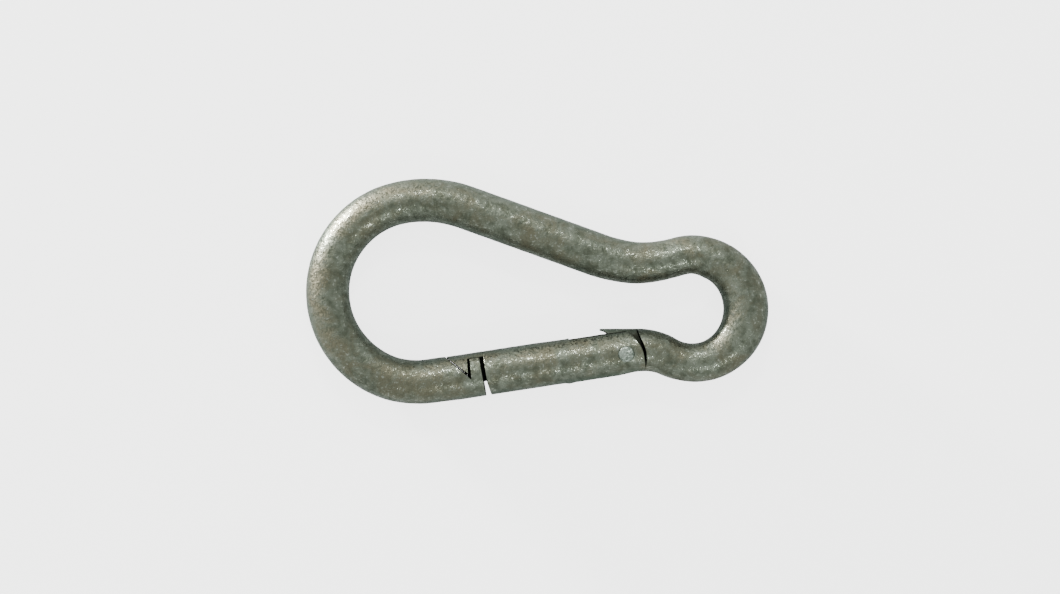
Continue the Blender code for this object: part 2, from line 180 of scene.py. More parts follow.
def soft_min(a, b, soft):
    """The smaller of two heights, with their crossing rounded over about soft."""
    return -soft * np.logaddexp(-a / soft, -b / soft)


def grid_faces(rows, columns, closed=True):
    """Quads between neighbouring rows of a grid of points, numbered row by row."""
    i = np.arange(rows - 1)[:, None] * columns
    j = np.arange(columns if closed else columns - 1)[None, :]
    k = (j + 1) % columns
    return np.stack((i + j, i + k, i + columns + k, i + columns + j), -1).reshape(-1, 4)


weld, crisp_edge = 2e-8, math.radians(35)


def piece(name, points, faces, **masks):
    """A closed mesh object with its seams merged, its faces outward and its sharper edges crisp."""
    mesh = bpy.data.meshes.new(name)
    mesh.from_pydata(points.reshape(-1, 3).tolist(), [], [list(map(int, f)) for f in faces])
    for label, values in masks.items():
        layer = mesh.attributes.new(label, "FLOAT", "POINT")
        layer.data.foreach_set("value", values.astype(np.float32).ravel())
    work = bmesh.new()
    work.from_mesh(mesh)
    bmesh.ops.remove_doubles(work, verts=work.verts, dist=weld)
    bmesh.ops.recalc_face_normals(work, faces=work.faces)
    work.to_mesh(mesh)
    work.free()
    mesh.shade_smooth()
    mesh.set_sharp_from_angle(angle=crisp_edge)
    made = bpy.data.objects.new(name, mesh)
    bpy.context.scene.collection.objects.link(made)
    return made


def drilled(obj, *drills):
    """Takes closed meshes out of an object, for good, and removes them."""
    for drill in drills:
        cut = obj.modifiers.new(drill.name, "BOOLEAN")
        cut.operation = "DIFFERENCE"
        cut.solver = "MANIFOLD"
        cut.object = drill
    bpy.context.view_layer.update()
    whole = obj.evaluated_get(bpy.context.evaluated_depsgraph_get())
    mesh = bpy.data.meshes.new_from_object(whole)
    mesh.materials.clear()
    obj.modifiers.clear()
    old, obj.data = obj.data, mesh
    bpy.data.meshes.remove(old)
    for drill in drills:
        bpy.data.objects.remove(drill, do_unlink=True)
    mesh.shade_smooth()
    mesh.set_sharp_from_angle(angle=crisp_edge)
    return obj


def turned(name, radius, height, place, sides=64):
    """A profile of radii and heights turned about a line; place sets (across, up, along) points."""
    angle = np.arange(sides) * 2 * np.pi / sides
    r, h = np.array(radius, float)[:, None], np.array(height, float)[:, None]
    points = place(r * np.cos(angle), r * np.sin(angle), h + 0 * angle)
    return piece(name, points, grid_faces(len(radius), sides))


slot_half, slot_floor = 0.0037, -0.0025
notch_tip, notch_floor, notch_fall = -0.04045, -0.00095, math.tan(math.radians(48.9))
notch_reach, tooth_reach, tooth_rise, milled_edge = 0.0068, 0.003, 20.0, 0.00006
end_lean, lean_until, edge_round = 0.0257, 0.0025, 0.00028
tang_half, root_fillet = 0.0017, 0.0003
eye_thinning, eye_gather = 0.10, 0.05
cut_scale = 0.00012

theta = ring_angles(96, slot_half - 0.00003, slot_half + 0.00003, tang_half)
ring_v, ring_z = np.cos(theta), np.sin(theta)
in_slot = np.abs(ring_z) * bar_r < slot_half

# How much the bar is swollen to the loop's inside and to its outside by the bending, along its length.
swell_at = np.array((0, 6, 12, 18, 24, 36, 54, 84, 100, 144,
                     150, 158, 164, 169, 186, 198, 204, 211, 216)) / 1000
swell_in = np.array((16, 15, 35, 22, 8, 14, -6, -20, 4, -5,
                     10, -38, -38, 12, 8, 18, 18, 18, 14)) / 1e5
swell_out = np.array((4, 4, -14, -20, -4, -1, -1, -1, 0, 6,
                      -8, 6, 18, 14, 2, -10, -18, -48, -36)) / 1e5


def bar_section(s, inset=0.0):
    """A ring of the round bar at s: v and z are the radius times the cosine and sine of the ring's angle.

    The radius is less at the eye's sides, v is gathered at its inside and swollen by the bending, and the
    coat's unevenness is taken off.
    """
    round_eye = into_eye - (s - eye_from) / eye_r
    in_neck = np.clip((s - run_start[4]) / run_length[4], 0, 1)
    in_throat = np.clip((tang_from - s) / run_length[6], 0, 1)
    clamped = np.clip(round_eye, out_of_eye, into_eye)
    thin = eye_thinning * np.sin(clamped) ** 2 * in_neck * in_throat
    r = bar_r * (1 - thin) - inset
    gather = 1 + eye_gather * np.clip(np.cos(round_eye), 0, 1) ** 2 * ((s > eye_from) & (s < throat_from))
    inner = gather + np.interp(s, swell_at, swell_in) / bar_r
    outer = 1 + np.interp(s, swell_at, swell_out) / bar_r
    v = r * ring_v * np.where(ring_v > 0, inner, outer)
    z = r * ring_z
    coat = scale_of_coat(swept(s, v, z))
    return v * (1 - coat / r), z * (1 - coat / r)


def nose_cut(s, v, z, inset=0.0):
    """Takes the slot and the notch out of the nose: both are open to the inside, so each is a ceiling on v.

    z is held within the bar's width at that ceiling, and to its own side of the slot's walls.
    """
    x = -(nose_face + s)
    slant = notch_floor - (x - notch_tip) * notch_fall
    notch = np.maximum(slant, notch_floor + (x - notch_tip) * tooth_rise)
    slot = np.maximum(slant, slot_floor - inset)
    ceiling = np.where(in_slot, slot, notch)
    cut_v = soft_min(v, ceiling, milled_edge)
    half = np.sqrt(np.maximum(bar_r**2 - np.minimum(ceiling, 0) ** 2, 0))
    cut_z = np.clip(z, -half, half)
    wall = slot_half + inset
    beside = np.sign(ring_z) * np.maximum(np.abs(cut_z), wall)
    cut_z = np.where(in_slot, np.clip(cut_z, -wall, wall), beside)
    reached = x > notch_tip - notch_reach
    cut_v = np.where(reached, cut_v, v)
    cut_z = np.where(reached & (in_slot | (x > notch_tip - tooth_reach)), cut_z, z)
    # The third value is how deep each point was cut: the mask of painted shade, with some grease, on milled
    # faces.
    return cut_v, cut_z, np.clip(np.hypot(cut_v - v, cut_z - z) / cut_scale - 0.5, 0, 1)


def over_tang(curve):
    """A curve across the tang, as (x, v) from the heel, made a place along the bar for each column."""
    at = curve[:, :1] * gate_way + curve[:, 1:] * gate_side
    across = at @ tang_side - tang_rise
    order = np.argsort(across)
    return root_at - np.interp(ring_v * bar_r, across[order], (at @ tang_way)[order])


# The tang's end is a cam: it lies a gap away from the plunger's dome wherever the swing takes it.
shoulder_line = np.array(((0.0044, -0.0070), (0.0047, -0.0053), (0.0051, -0.0044), (0.00532, -0.0029),
                          (0.00526, -0.0005), (0.00475, 0.0019), (0.0043, 0.0034), (0.0035, 0.0074)))
cam_start, cam_rise, cam_gap, dome_r = 0.0037, 0.00275, 0.0003, 0.0026
swung = np.radians(np.linspace(0, 30, 9))
reach = cam_start + dome_r + cam_rise * swung
dome_at = np.stack((rivet_offset * np.sin(swung) - reach * np.cos(swung),
                    reach * np.sin(swung) + rivet_offset * (np.cos(swung) - 1)), -1)
dome_way = np.gradient(dome_at, axis=0)
facing = np.arctan2(-dome_way[:, 0], dome_way[:, 1])
hollow = np.linspace(facing[-1], math.radians(76), 9)[1:]
dome_path = np.concatenate((dome_at, np.tile(dome_at[-1], (len(hollow), 1))))
facing = np.concatenate((facing, hollow))
cam = dome_path + (dome_r + cam_gap) * np.stack((np.cos(facing), np.sin(facing)), -1)
tip_line = np.concatenate((((-0.0034, -0.008), (-0.0034, -0.001)), cam, ((-0.0062, 0.009),)))
at_shoulder, at_tip = over_tang(shoulder_line), over_tang(tip_line)

# Rings from the nose's rounded end, through the bar, to the shoulder, the tang and its rounded end.
rows = []
for turn in np.linspace(0, np.pi / 2, 5):
    inset = edge_round * (1 - math.sin(turn))
    s = np.full_like(theta, edge_round * (1 - math.cos(turn)))
    v, z, cut = nose_cut(s, *bar_section(s, inset), inset)
    # The nose's end face and rounded edge get painted shade with some grease.
    rows.append((s + end_lean * v, v, z, np.maximum(cut, 0.8 * (inset > 0))))
nose_fine = np.arange(edge_round + 0.0001, 0.0098, 0.0001)
plain = np.arange(0.0100, root_at - 0.0095, 0.00042)
for at in np.concatenate((nose_fine, plain)):
    s = np.full_like(theta, at)
    v, z, cut = nose_cut(s, *bar_section(s))
    rows.append((s + end_lean * v * max(0, 1 - at / lean_until), v, z, cut))
for t in np.linspace(0, 1, 24)[1:]:
    s = (1 - t) * plain[-1] + t * at_shoulder
    rows.append((s, *bar_section(s), 0 * theta))
full_v, full_z = bar_section(at_shoulder)
# The milled faces at the tang's root get painted shade with some grease.
for t, clip in ((0, tang_half + root_fillet), (0.3, tang_half + 0.3 * root_fillet), (1, tang_half)):
    milled = (full_z**2 > clip**2) * 1.0
    rows.append((at_shoulder + t * root_fillet, full_v, np.clip(full_z, -clip, clip), milled))
for t in np.linspace(0, 1, 60)[1:]:
    s = at_shoulder + root_fillet + t * (at_tip - at_shoulder - root_fillet - edge_round)
    v, z = bar_section(s)
    # Painted shade with some grease on the tang's milled sides, strongest near the shoulder.
    dirty = np.interp(root_at - s, (-0.0045, -0.0025, 0.0015, 0.0045), (0.05, 0.15, 0.35, 0.7))
    rows.append((s, v, np.clip(z, -tang_half, tang_half), dirty * (z**2 > tang_half**2)))
for turn in np.linspace(0, np.pi / 2, 4)[1:]:
    inset = edge_round * (1 - math.cos(turn))
    v, z = bar_section(at_tip, inset)
    clip = tang_half - inset
    rows.append((at_tip - edge_round * (1 - math.sin(turn)), v, np.clip(z, -clip, clip), 0.1 + 0 * v))

points = np.stack([swept(*row[:3]) for row in rows])
faces = grid_faces(len(rows), len(theta)).tolist()
columns, last = len(theta), (len(rows) - 1) * len(theta)
faces.append(list(range(columns))[::-1])
for j in range(columns // 2):
    faces.append([last + j, last + j + 1, last + (columns - j - 1) % columns, last + (columns - j) % columns])
faces = [list(dict.fromkeys(f)) for f in faces]
# How far across the section each point lies: the mask of painted green shade on the sides.
flank = np.stack([np.abs(row[1]) / bar_r for row in rows])
# The mask of painted shade, with some grease, on the milled faces and in the gaps.
crevice = np.stack([row[3] for row in rows])


def along_rivet(across, up, along):
    """Places a turned piece with its axis on the rivet's."""
    centre = rivet_at - np.array((0, 0, rivet_at[2] - bar_r))
    return np.stack((centre[0] + across, centre[1] + up, centre[2] + along), -1)


hook = piece("bent_bar", points, faces, flank=flank, crevice=crevice)
hole_r, past = 0.0019, 0.004
drilled(hook, turned("tang_drill", (0, hole_r, hole_r, 0), (past, past, -past, -past), along_rivet))


def node(tree, kind, values=None, **settings):
    """Adds a shader node; a value that is a socket is linked, and any other is set on the input."""
    made = tree.nodes.new("ShaderNode" + kind)
    for key, value in settings.items():
        setattr(made, key, value)
    for key, value in (values or {}).items():
        if isinstance(value, bpy.types.NodeSocket):
            tree.links.new(value, made.inputs[key])
        else:
            made.inputs[key].default_value = value
    return made


def group(name, inputs, outputs):
    """An empty shader node group with its inputs and outputs named, and the two nodes that hold them."""
    tree = bpy.data.node_groups.new(name, "ShaderNodeTree")
    for label, kind in inputs:
        tree.interface.new_socket(label, in_out="INPUT", socket_type="NodeSocket" + kind)
    for label, kind in outputs:
        tree.interface.new_socket(label, in_out="OUTPUT", socket_type="NodeSocket" + kind)
    return tree, tree.nodes.new("NodeGroupInput").outputs, tree.nodes.new("NodeGroupOutput").inputs


def ramp(tree, value, low_at, high_at, low_to=0.0, high_to=1.0):
    """A value moved from one span to another, held at the ends."""
    span = {"Value": value, "From Min": low_at, "From Max": high_at, "To Min": low_to, "To Max": high_to}
    return node(tree, "MapRange", span).outputs["Result"]


def blend_colour(tree, share, a, b):
    """The first colour where the share is 0, the second where it is 1."""
    mixed = node(tree, "Mix", data_type="RGBA")
    for index, value in ((0, share), (6, a), (7, b)):
        if isinstance(value, bpy.types.NodeSocket):
            tree.links.new(value, mixed.inputs[index])
        else:
            mixed.inputs[index].default_value = value
    return mixed.outputs[2]


def noise(tree, place, scale, detail=4.0, rough=0.6, warp=0.0):
    """A noise value near 0.5, with its scale in cycles for each metre."""
    values = {"Vector": place, "Scale": scale, "Detail": detail, "Roughness": rough, "Distortion": warp}
    return node(tree, "TexNoise", values).outputs["Fac"]


def build_weathering():
    """Weathered zinc: grey-olive mottle, browner patches, pale grain specks; painted shade, green on sides,
    with grease in gaps.
    """
    inputs = (("Place", "Vector"), ("Flank", "Float"), ("Crevice", "Float"), ("Grain", "Float"),
              ("Grey", "Color"), ("Dark", "Color"), ("Brown", "Color"), ("Pale", "Color"),
              ("Green", "Color"), ("Grease", "Color"))
    outputs = (("Color", "Color"), ("Roughness", "Float"), ("Normal", "Vector"))
    tree, given, out = group("weathered_zinc", inputs, outputs)
    place = given["Place"]
    blotch = noise(tree, place, 420, 5, 0.6, 0.3)
    patch = noise(tree, place, 130, 4, 0.6, 0.6)
    grain = noise(tree, place, 900, 2, 0.5)
    fleck = noise(tree, place, 1700, 2, 0.5)
    colour = blend_colour(tree, ramp(tree, blotch, 0.36, 0.62), given["Dark"], given["Grey"])
    colour = blend_colour(tree, ramp(tree, patch, 0.44, 0.64, 0, 0.8), colour, given["Brown"])
    specks = node(tree, "Math", {0: ramp(tree, fleck, 0.56, 0.70), 1: ramp(tree, blotch, 0.42, 0.58)},
                  operation="MULTIPLY").outputs[0]
    colour = blend_colour(tree, ramp(tree, specks, 0, 1, 0, 0.55), colour, given["Pale"])
    # Painted shade, tinted green, on the bar's sides, stronger the further across the section a point lies.
    shade = ramp(tree, given["Flank"], 0.74, 0.98, 0, 0.62)
    colour = blend_colour(tree, shade, colour, given["Green"])
    # Painted shade, near black, with some grease, on the milled faces in the gaps.
    dirt = ramp(tree, given["Crevice"], 0.1, 0.8)
    tree.links.new(blend_colour(tree, dirt, colour, given["Grease"]), out["Color"])
    worn = ramp(tree, fleck, 0.48, 0.60, 0.46, 0.17)
    dull = ramp(tree, blotch, 0.35, 0.6, 0.12, -0.04)
    rough = node(tree, "Math", {0: worn, 1: dull}, operation="ADD").outputs[0]
    tree.links.new(node(tree, "Math", {0: rough, 1: dirt}, operation="MAXIMUM").outputs[0], out["Roughness"])
    height = node(tree, "Math", {0: grain, 1: ramp(tree, blotch, 0, 1, 0, 1.6)}, operation="ADD").outputs[0]
    bump = node(tree, "Bump", {"Strength": given["Grain"], "Distance": 0.00022, "Height": height})
    tree.links.new(bump.outputs["Normal"], out["Normal"])
    return tree


weathering = build_weathering()
# Green is the colour of the painted shade on the sides; Grease is the near black of the painted shade, with
# some grease, in the gaps.
zinc = {"Grey": (0.19, 0.21, 0.167, 1), "Dark": (0.095, 0.106, 0.078, 1), "Brown": (0.145, 0.137, 0.093, 1),
        "Pale": (0.52, 0.55, 0.48, 1), "Green": (0.07, 0.105, 0.088, 1), "Grease": (0.006, 0.0065, 0.005, 1),
        "Grain": 0.6}


def zinc_material(name, colours, metallic=0.9):
    """Weathered zinc over steel with painted shade, from the shared group with this piece's own colours."""
    material = bpy.data.materials.new(name)
    material.use_nodes = True
    tree = material.node_tree
    shader = tree.nodes["Principled BSDF"]
    shader.inputs["Metallic"].default_value = metallic
    place = node(tree, "TexCoord").outputs["Object"]
    made = node(tree, "Group", node_tree=weathering)
    for label in ("Flank", "Crevice"):
        mask = node(tree, "Attribute", attribute_name=label.lower())
        tree.links.new(mask.outputs["Fac"], made.inputs[label])
    for label, value in colours.items():
        made.inputs[label].default_value = value
    tree.links.new(place, made.inputs["Place"])
    tree.links.new(made.outputs["Color"], shader.inputs["Base Color"])
    tree.links.new(made.outputs["Roughness"], shader.inputs["Roughness"])
    tree.links.new(made.outputs["Normal"], shader.inputs["Normal"])
    return material


hook.data.materials.append(zinc_material("bar_zinc", zinc))
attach(hook, "hook")
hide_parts("hook_body")

# --- Gate -----------------------------------------------------------------------------------------
# A length of the same round bar. Its front is milled to a tongue with a head as wide as the bar, which
# drops into the nose's slot and hooks behind the tooth; its back is sawn to a fork over the tang and
# drilled from the fork's end for the spring. The saw left a small burr where the slot ends.

tongue_half, tongue_floor, head_face = 0.0034, -0.0019, 0.04114
head_start, head_end, neck_from, neck_to = -0.0460, -0.0412, -0.0411, -0.0366
front_from, body_from, body_step = -0.0363, -0.0350, 0.0003
fork_from, fork_to, fork_half = -0.0141, 0.0048, 0.0020
corner_x, corner_v, corner_r = -0.0043, -0.0020, 0.0089
bore_r, bore_end = 0.0028, -0.02964
tip_gap, back_gap, neck_gap, under_gap, lean_over = 0.00024, 0.0008, 0.00012, 0.00005, 0.0014
fuller_from, fuller_until, fuller_by, outer_limit = -0.022, -0.014, 1.035, -0.00579
pressed_wide, pressed_in, pressed_out = 0.0016, 0.00018, 0.00045
burr_back, burr_long, burr_out, burr_in = 0.0013, 0.0009, 0.0003, 0.00004

gate_theta = ring_angles(96, tongue_half, fork_half)
gate_v, gate_z = np.cos(gate_theta), np.sin(gate_theta)
cheek = np.abs(gate_z) * bar_r > fork_half - 1e-8


def in_gate(x, v, z):
    """Points of the gate: x along it from the heel towards the eye, v to the loop's inside, z up."""
    flat = heel + x[..., None] * gate_way + v[..., None] * gate_side
    return np.concatenate((flat, bar_r + z[..., None]), -1)


def gate_section(x, inset=0.0, floor=None, half=None, lean=0.0):
    """A ring of the gate's round bar, kept above a floor in v and within half of the middle in z.

    The bar is a little fuller to the inside towards the nose, pressed in beside the fork, and raised in a
    burr where the fork's slot ends. The floor drops by the lean on the under side. Also gives the mask of
    painted shade with some grease: how deep each point was cut, 1 where the surface is milled, 0 where it
    is the bar's own, and 1 in a band beside the fork's slot on the inside.
    """
    r = bar_r - inset
    fuller = np.interp(x, (fuller_from, fuller_until), (fuller_by, 1))
    v, z = r * gate_v * np.where(gate_v > 0, fuller, 1), r * gate_z
    beside = np.clip(1 - (np.abs(z) - fork_half) / pressed_wide, 0, 1)
    spread = np.clip((x - fork_from) / 0.001 + 1, 0, 1) ** 2 * np.clip((0.004 - x) / 0.006, 0.3, 1)
    v = np.maximum(v + beside * spread * np.where(v > 0, pressed_in, -pressed_out), outer_limit)
    burr = np.exp(-((x - fork_from + burr_back) / burr_long) ** 2) * np.clip(1.2 - np.abs(z) / 0.0042, 0, 1)
    v = v + burr * np.where(v < 0, -burr_out, burr_in)
    round_v, round_z = v, z
    if floor is not None:
        floor = floor - lean * np.clip(-z / lean_over, 0, 1)
        width = np.sqrt(np.maximum(r**2 - (floor / np.where(floor > 0, fuller, 1)) ** 2, 1e-12))
        z = np.clip(z, -width, width)
        v = np.maximum(v, floor)
    if half is not None:
        z = np.clip(z, -half, half)
    cut = np.clip(np.hypot(round_v - v, round_z - z) / cut_scale - 0.5, 0, 1)
    # A band beside the fork's slot on the inside gets painted shade with some grease.
    lip = np.clip(1 - (np.abs(z) - fork_half - 0.0002) / 0.0003, 0, 1)
    cut = np.maximum(cut, (x > fork_from) * (v > 0) * lip)
    coat = scale_of_coat(in_gate(x + 0 * v, v, z)) / bar_r
    return v * (1 - coat), z * (1 - coat), cut


def head_slant(x, gap):
    """The head's slanted face, which lies a gap inside the nose's notch."""
    return notch_floor - (x - notch_tip) * notch_fall + gap


def head_back(v):
    """The head's back, round the rivet so that it clears the tooth as the gate swings."""
    return -np.sqrt(head_face**2 - (v + rivet_offset) ** 2)


def gate_front(v):
    """The end face beside the tongue, cut back a little at its outer side."""
    return np.interp(v, (-0.0057, -0.0022, 0.0057), (-0.0360, -0.0366, -0.03665))


def fork_end(v):
    """The fork's ends: square at the outer side, and rounded off towards the inside to pass the shoulder."""
    height = np.clip(v - corner_v, 0, None)
    cut = 0.6 * np.clip(-0.0047 - v, 0, None)
    return corner_x + np.sqrt(corner_r**2 - height**2) - cut


def clear_of_slot(z):
    """Moves the cheeks' points out of the fork's slot, to its walls: the greater of the two heights."""
    return np.where(cheek, np.sign(z) * np.maximum(np.abs(z), fork_half), z)


# Rings from the head's tip, along the tongue, over the front's rounded edge and the body, to the fork's ends.
gate_rows = []
for at in np.linspace(head_start, head_end, 44):
    gap = np.interp(at, (head_start, head_end), (tip_gap, back_gap))
    v, z, cut = gate_section(at, floor=head_slant(at, gap), lean=gap - under_gap)
    share = (at - head_start) / (head_end - head_start)
    gate_rows.append((at + share * (head_back(v) - head_end), v, z, cut))
for t in np.linspace(0, 1, 42):
    x = neck_from + t * (neck_to - neck_from)
    v, z, cut = gate_section(x, floor=max(tongue_floor, head_slant(x, neck_gap)), half=tongue_half)
    gate_rows.append(((1 - t) * head_back(v) + t * gate_front(v), v, z, cut))
# The end face beside the tongue gets full painted shade with some grease.
for turn in np.linspace(0, np.pi / 2, 5):
    v, z, cut = gate_section(neck_to + 0.0001, inset=edge_round * (1 - math.sin(turn)))
    gate_rows.append((gate_front(v) + edge_round * (1 - math.cos(turn)), v, z, cut + 1.0 * (turn == 0)))
near = gate_rows[-1][0]
for t in np.linspace(0, 1, 8)[1:]:
    v, z, cut = gate_section(front_from + t * (body_from - front_from))
    gate_rows.append((near + t * (body_from - near), v, z, cut))
for at in np.arange(body_from, fork_from - 0.0002, body_step)[1:]:
    v, z, cut = gate_section(at)
    gate_rows.append((at + 0 * v, v, z, cut))
fork_row = len(gate_rows)
for t in np.linspace(0, 1, 64):
    x = fork_from + t * (fork_to - fork_from)
    v, z, cut = gate_section(x)
    gate_rows.append((fork_from + t * (fork_end(v) - edge_round - fork_from), v, clear_of_slot(z), cut))
for turn in np.linspace(0, np.pi / 2, 4)[1:]:
    v, z, cut = gate_section(fork_to, inset=edge_round * (1 - math.cos(turn)))
    gate_rows.append((fork_end(v) - edge_round * (1 - math.sin(turn)), v, clear_of_slot(z), cut))

outer = np.stack([np.stack(row, -1) for row in gate_rows])
count = len(gate_theta)
top = np.flatnonzero(cheek & (gate_z > 0))
under = np.flatnonzero(cheek & (gate_z < 0))[::-1]
side = np.concatenate((np.arange(top[0], -1, -1), np.arange(count - 1, under[0] - 1, -1)))
skin = grid_faces(len(gate_rows), count).reshape(len(gate_rows) - 1, count, 4)
kept = np.ones(skin.shape[:2], bool)
kept[fork_row:, ~(cheek & np.roll(cheek, -1))] = False
faces = [skin[kept]]
blocks = [outer.reshape(-1, 4)]


def add_block(points):
    """Adds an open grid of the fork's inside to the gate's points and faces."""
    start = sum(len(block) for block in blocks)
    blocks.append(points.reshape(-1, points.shape[-1]))
    faces.append(start + grid_faces(points.shape[0], points.shape[1], closed=False))


cheek_rows = outer[fork_row:]
# The fork's inner walls and ends get full painted shade with some grease.
for members, z_face in ((top, fork_half), (under, -fork_half)):
    inside = cheek_rows[:, members].copy()
    inside[..., 2:] = z_face, 1
    add_block(inside)
    ends = np.stack((cheek_rows[-1, members], inside[-1]))
    add_block(ends)

# The slot's floor joins each point of one side to the point at its height on the other.
first = cheek_rows[0]
mirror = [np.argmin(np.abs(gate_z - gate_z[j]) + 9 * (gate_v * gate_v[j] > 0)) for j in side]
share = (first[top[0], 1] - first[top, 1]) / (first[top[0], 1] - first[top[-1], 1])
floor_rows = first[side][:, None] + share[:, None] * (first[mirror] - first[side])[:, None]
for end, members, z_face in ((0, top, fork_half), (-1, under, -fork_half)):
    floor_rows[end, :, :2] = first[members, :2]
    floor_rows[end, :, 2:] = z_face, 1
# The slot's floor gets full painted shade with some grease.
floor_rows[:, 1:-1, 3] = 1
add_block(floor_rows)
gate_points = np.concatenate(blocks)
gate_faces = np.concatenate(faces).tolist()
gate_faces.append(list(range(count))[::-1])
placed = in_gate(gate_points[:, 0], gate_points[:, 1], gate_points[:, 2])
# How far across the section each point lies: the mask of painted green shade on the sides.
gate_flank = np.abs(gate_points[:, 1]) / bar_r
gate = piece("sprung_gate", placed, gate_faces, flank=gate_flank, crevice=gate_points[:, 3])


def along_gate(across, up, along):
    """Places a turned piece with its axis on the gate's, its height counted from the heel to the nose."""
    return in_gate(-along, across, up)


rivet_hole_r, rivet_sink_r, sink_from, past = 0.00185, 0.00236, 0.0047, 0.0062
bore_at = (-bore_end + bore_r / 2, -bore_end, -0.007, -0.007)
gate_bore = turned("gate_bore", (0, bore_r, bore_r, 0), bore_at, along_gate)
rivet_hole = turned("rivet_hole", (0, rivet_sink_r, rivet_hole_r, rivet_hole_r, rivet_sink_r, 0),
                    (past, past, sink_from, -sink_from, -past, -past), along_rivet)
drilled(gate, gate_bore, rivet_hole)
gate.data.materials.append(zinc_material("gate_zinc", zinc))
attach(gate, "gate")
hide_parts("gate")

# --- Hinge rivet ----------------------------------------------------------------------------------
# A soft steel rivet through both cheeks and the tang, peened flush: its heads follow the round of the
# gate, and the hammer left them slightly dished and paler than the coat around them.

rivet_r, head_r, head_under, shank_end = 0.0018, 0.00215, 0.0047, 0.0044
mark_depth, mark_size, crown_sink, crown_follow = 0.00013, 0.0014, 0.0001, 0.7
dish_rise, rim_drop = 0.00022, 0.00042
turn = np.arange(72) * 2 * np.pi / 72


def rivet_face(radius, side_of):
    """The head's height at a radius: the round of the gate under it, a little proud, with hammer marks."""
    across, up = radius * np.cos(turn), radius * np.sin(turn)
    v = across * gate_side[0] + up * gate_side[1] - rivet_offset
    follow = np.sqrt(bar_r**2 - v**2)
    marks = mark_depth * waves(np.stack((across, up, 0 * up + side_of), -1), mark_size, 21)
    flat = bar_r - crown_sink - crown_follow * (bar_r - follow)
    dish = dish_rise * (radius / head_r) ** 2 - rim_drop * (radius / head_r) ** 6
    return side_of * np.minimum(flat + marks + dish, bar_r)


rings = []
for side_of in (1, -1):
    head = [(radius, rivet_face(radius, side_of)) for radius in np.linspace(0, head_r, 16)]
    head.append((head_r + 0.00003, head[-1][1] - side_of * 0.00012))
    head.append((head_r - 0.0001, side_of * head_under + 0 * turn))
    head.append((rivet_r, side_of * shank_end + 0 * turn))
    rings += head[::side_of]
ring_points = np.stack([along_rivet(r * np.cos(turn), r * np.sin(turn), h) for r, h in rings])
rivet = piece("peened_rivet", ring_points, grid_faces(len(rings), len(turn)))


def build_steel():
    """Bare steel dulled by handling: a grey-green film in patches, and fine noise in the surface."""
    inputs = (("Place", "Vector"), ("Bright", "Color"), ("Film", "Color"), ("Size", "Float"))
    outputs = (("Color", "Color"), ("Roughness", "Float"), ("Normal", "Vector"))
    tree, given, out = group("dulled_steel", inputs, outputs)
    film = noise(tree, given["Place"], given["Size"], 5, 0.6)
    fine = noise(tree, given["Place"], 3800, 3, 0.6)
    colour = blend_colour(tree, ramp(tree, film, 0.38, 0.64), given["Bright"], given["Film"])
    tree.links.new(colour, out["Color"])
    tree.links.new(ramp(tree, film, 0.3, 0.7, 0.26, 0.46), out["Roughness"])
    bump = node(tree, "Bump", {"Strength": 0.45, "Distance": 0.00006, "Height": fine})
    tree.links.new(bump.outputs["Normal"], out["Normal"])
    return tree


steel = build_steel()


def steel_material(name, bright, film, size, metallic=0.85):
    """Dulled steel from the shared group, with this piece's own two colours and size of patch."""
    material = bpy.data.materials.new(name)
    material.use_nodes = True
    tree = material.node_tree
    shader = tree.nodes["Principled BSDF"]
    shader.inputs["Metallic"].default_value = metallic
    values = {"Place": node(tree, "TexCoord").outputs["Object"], "Bright": bright, "Film": film, "Size": size}
    made = node(tree, "Group", node_tree=steel)
    for label, value in values.items():
        if isinstance(value, bpy.types.NodeSocket):
            tree.links.new(value, made.inputs[label])
        else:
            made.inputs[label].default_value = value
    for label, socket in (("Color", "Base Color"), ("Roughness", "Roughness"), ("Normal", "Normal")):
        tree.links.new(made.outputs[label], shader.inputs[socket])
    return material


rivet_bright, rivet_film = (0.42, 0.48, 0.42, 1), (0.12, 0.145, 0.12, 1)
rivet.data.materials.append(steel_material("rivet_steel", rivet_bright, rivet_film, 1300))
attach(rivet, "gate")
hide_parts("hinge_pin")

# --- Plunger --------------------------------------------------------------------------------------
# A turned steel pin in the gate's bore. Its domed end runs on the tang, and its spigot keeps the spring
# centred.

tip_at, body_length = cam_start, 0.0118
spigot_r, spigot_length, chamfer = 0.0013, 0.0022, 0.0004
dome = np.linspace(0, np.pi / 2, 14)
plunger_back = tip_at + body_length
spigot_end, spigot_edge = plunger_back + spigot_length, 0.0002
behind_r = (dome_r, dome_r - chamfer, spigot_r, spigot_r, spigot_r - spigot_edge, 0)
behind_at = (plunger_back - chamfer, plunger_back, plunger_back,
             spigot_end - spigot_edge, spigot_end, spigot_end)
profile_r = np.concatenate((dome_r * np.sin(dome), behind_r))
profile_at = np.concatenate((tip_at + dome_r * (1 - np.cos(dome)), behind_at))
plunger = turned("spring_plunger", profile_r, profile_at, along_gate, 72)
plunger_bright, plunger_film = (0.36, 0.36, 0.34, 1), (0.22, 0.21, 0.18, 1)
plunger.data.materials.append(steel_material("plunger_steel", plunger_bright, plunger_film, 500))
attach(plunger, "plunger")
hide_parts("plunger")

# --- Return spring --------------------------------------------------------------------------------
# A coil of hard-drawn wire between the bore's end and the plunger. Its end turns are closed.

wire_r, wire_sides, coil_turns, coil_clear, end_clear = 0.00045, 16, 9, 0.0002, 0.0003
coil_r = bore_r - coil_clear - wire_r
coil_from, coil_to = plunger_back + end_clear + wire_r, -bore_end - end_clear - wire_r
closed_pitch = 2 * wire_r * 1.1
open_pitch = (coil_to - coil_from - 2 * closed_pitch) / (coil_turns - 2)
turns = np.linspace(0, coil_turns, coil_turns * 40 + 1)
